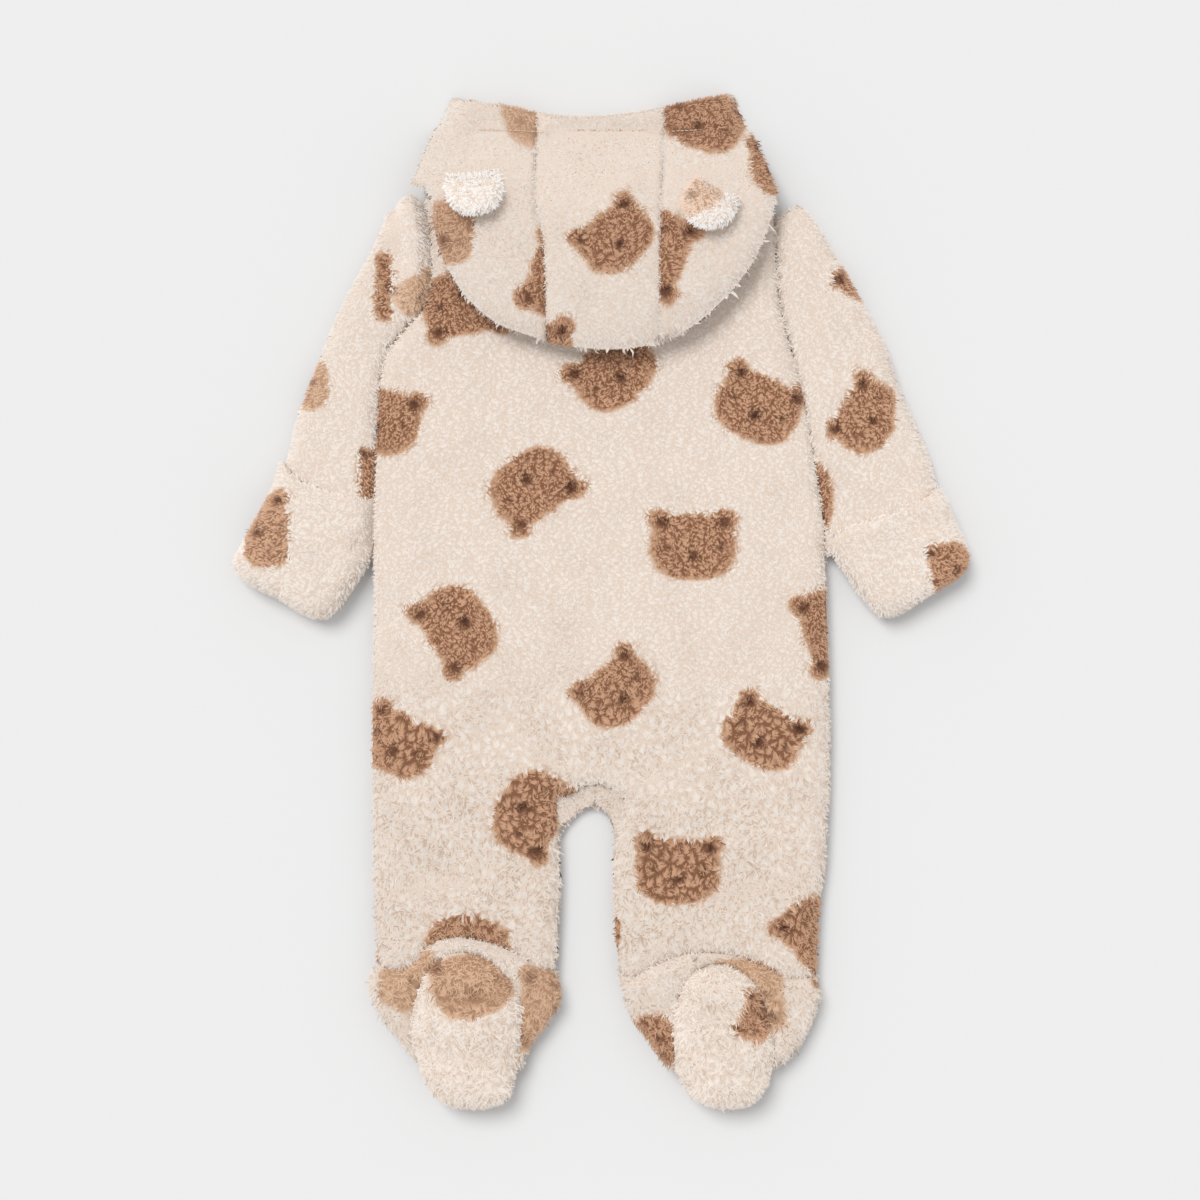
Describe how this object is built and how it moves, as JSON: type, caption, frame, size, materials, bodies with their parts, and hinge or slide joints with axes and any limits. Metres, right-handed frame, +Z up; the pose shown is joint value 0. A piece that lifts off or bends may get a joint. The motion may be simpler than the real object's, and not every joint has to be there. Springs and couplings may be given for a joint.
{
  "type": "faux fur pramsuit",
  "caption": "Baby's hooded faux fur pramsuit with ears, fold-over mitts, closed feet and a front zip, laid flat on its front with its hood on its back.",
  "frame": {"origin": "on the surface that the suit lies on, under the middle of its outline", "axes": "+Z up, out of the suit's back; +Y from the feet to the hood; +X to the right as seen from above"},
  "size_m": [0.4898, 0.672, 0.052],
  "materials": {
    "teddy_fur": "long teddy pile, cream with a printed motif",
    "teddy_fur_underneath": "the same pile, pressed by what lies on it",
    "zip_tape": "woven tape with a nylon coil",
    "zip_zinc": "cast zinc alloy, satin"
  },
  "bodies": {
    "suit": {"back_body": "teddy_fur", "mitt_left": "teddy_fur", "mitt_right": "teddy_fur", "sleeve_left": "teddy_fur", "sleeve_right": "teddy_fur", "hood_centre": "teddy_fur", "hood_side_left": "teddy_fur", "hood_side_right": "teddy_fur", "ear_left": "teddy_fur", "ear_right": "teddy_fur", "heel_band_left": "teddy_fur", "heel_band_right": "teddy_fur", "sole_left": "teddy_fur", "sole_right": "teddy_fur", "front_left": "teddy_fur_underneath", "front_right": "teddy_fur_underneath", "hood_cheek_left": "teddy_fur_underneath", "hood_cheek_right": "teddy_fur_underneath", "hood_nape": "teddy_fur_underneath", "foot_upper_left": "teddy_fur_underneath", "foot_upper_right": "teddy_fur_underneath", "zip_tape": "zip_tape", "zip_slider": "zip_zinc"},
    "pull": {"zip_pull": "zip_zinc"}
  },
  "joints": [
    {"name": "zip_pull_hinge", "type": "hinge", "parent": "suit", "child": "pull", "pos_m": [-0.004, 0.23, 0.0018], "axis": [1, 0, 0], "range_deg": [0, 150]}
  ]
}
